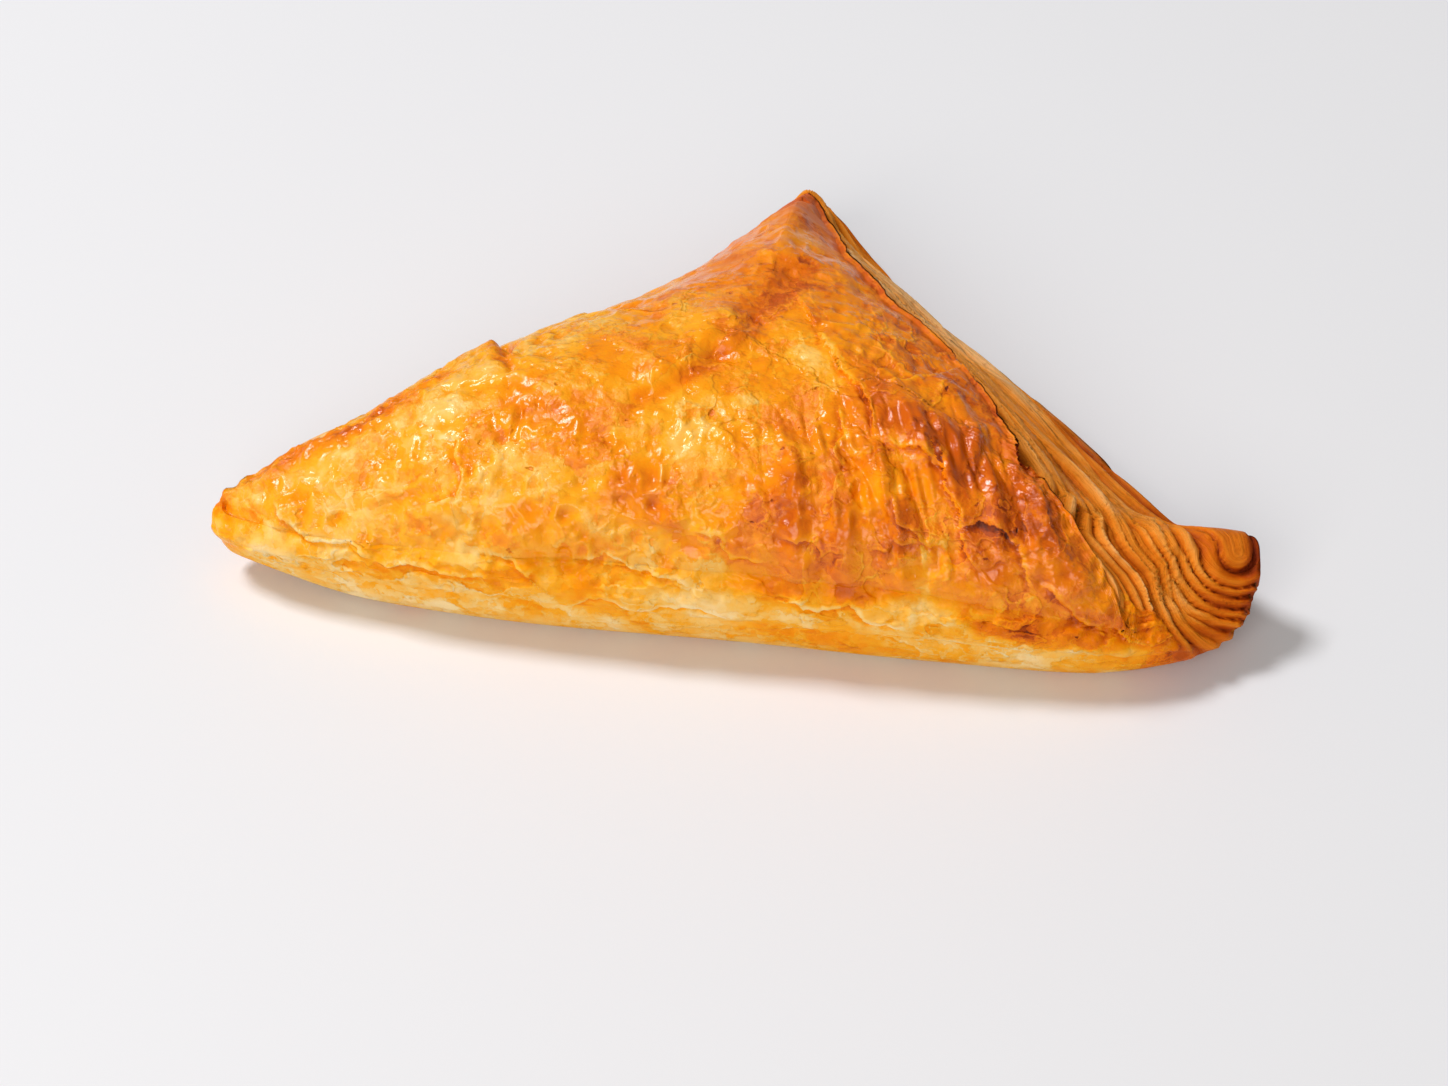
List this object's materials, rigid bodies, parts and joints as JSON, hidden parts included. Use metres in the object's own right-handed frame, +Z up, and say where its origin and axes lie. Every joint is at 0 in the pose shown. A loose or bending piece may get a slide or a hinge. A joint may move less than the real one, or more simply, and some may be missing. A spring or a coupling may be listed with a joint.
{
  "type": "chicken puff",
  "caption": "Baked puff pastry triangle: a square of layered dough folded over its filling, with a glazed golden top and open layered edges.",
  "frame": {"origin": "middle of the bounding box on the table plane, under the pastry", "axes": "+X along the folded side, from the smooth tip to the opened tip; +Y from the fold to the apex; +Z up, with the pastry resting flat on its underside"},
  "size_m": [0.1584, 0.1038, 0.0358],
  "materials": {
    "golden_crust": "egg-washed satin"
  },
  "bodies": {
    "root": {"pastry": "golden_crust"}
  },
  "joints": []
}
